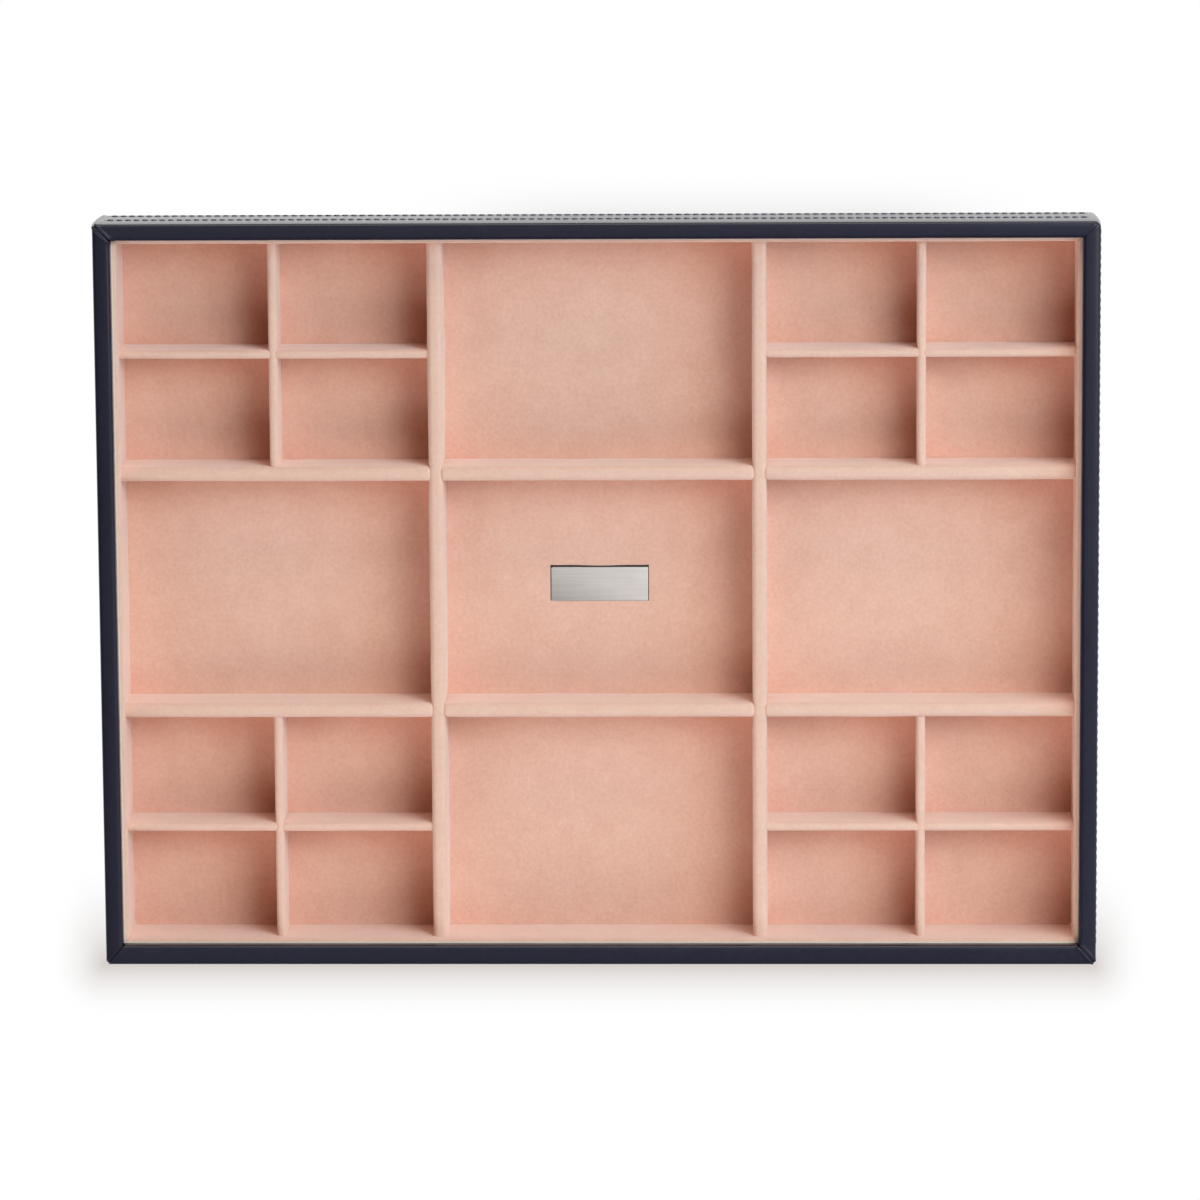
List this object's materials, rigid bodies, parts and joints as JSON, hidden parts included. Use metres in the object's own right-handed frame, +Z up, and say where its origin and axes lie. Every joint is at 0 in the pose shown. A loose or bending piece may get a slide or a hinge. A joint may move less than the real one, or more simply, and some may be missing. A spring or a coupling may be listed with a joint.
{
  "type": "jewelry tray",
  "caption": "Shallow rectangular jewelry tray with a stitched leatherette frame, suede lining and a lapped grid of dividers that makes large and small open compartments.",
  "frame": {"origin": "middle of the underside, on the plane that the felt rests on", "axes": "+X along the tray's long side, +Y to the back (the upper edge in the picture), +Z up out of the compartments"},
  "size_m": [0.3572, 0.2682, 0.034],
  "materials": {
    "leatherette": "navy leatherette, fine grain, satin",
    "thread": "navy sewing thread",
    "suede": "blush suede, short nap",
    "felt": "dark felt",
    "board": "fibreboard",
    "card": "grey board",
    "plate_metal": "brushed nickel"
  },
  "bodies": {
    "root": {"badge_plate": "plate_metal", "base_board": "board", "base_felt": "felt", "corner_back_left_cross_core": "card", "corner_back_left_cross_suede": "suede", "corner_back_left_upright_core": "card", "corner_back_left_upright_suede": "suede", "corner_back_right_cross_core": "card", "corner_back_right_cross_suede": "suede", "corner_back_right_upright_core": "card", "corner_back_right_upright_suede": "suede", "corner_front_left_cross_core": "card", "corner_front_left_cross_suede": "suede", "corner_front_left_upright_core": "card", "corner_front_left_upright_suede": "suede", "corner_front_right_cross_core": "card", "corner_front_right_cross_suede": "suede", "corner_front_right_upright_core": "card", "corner_front_right_upright_suede": "suede", "divider_back_core": "card", "divider_back_suede": "suede", "divider_front_core": "card", "divider_front_suede": "suede", "divider_left_core": "card", "divider_left_suede": "suede", "divider_right_core": "card", "divider_right_suede": "suede", "floor_card": "card", "floor_suede": "suede", "lining_card_back": "card", "lining_card_front": "card", "lining_card_left": "card", "lining_card_right": "card", "lining_suede_back": "suede", "lining_suede_front": "suede", "lining_suede_left": "suede", "lining_suede_right": "suede", "stitching_lower": "thread", "stitching_upper": "thread", "wall_board_back": "board", "wall_board_front": "board", "wall_board_left": "board", "wall_board_right": "board", "wall_cover_back": "leatherette", "wall_cover_front": "leatherette", "wall_cover_left": "leatherette", "wall_cover_right": "leatherette"}
  },
  "joints": []
}
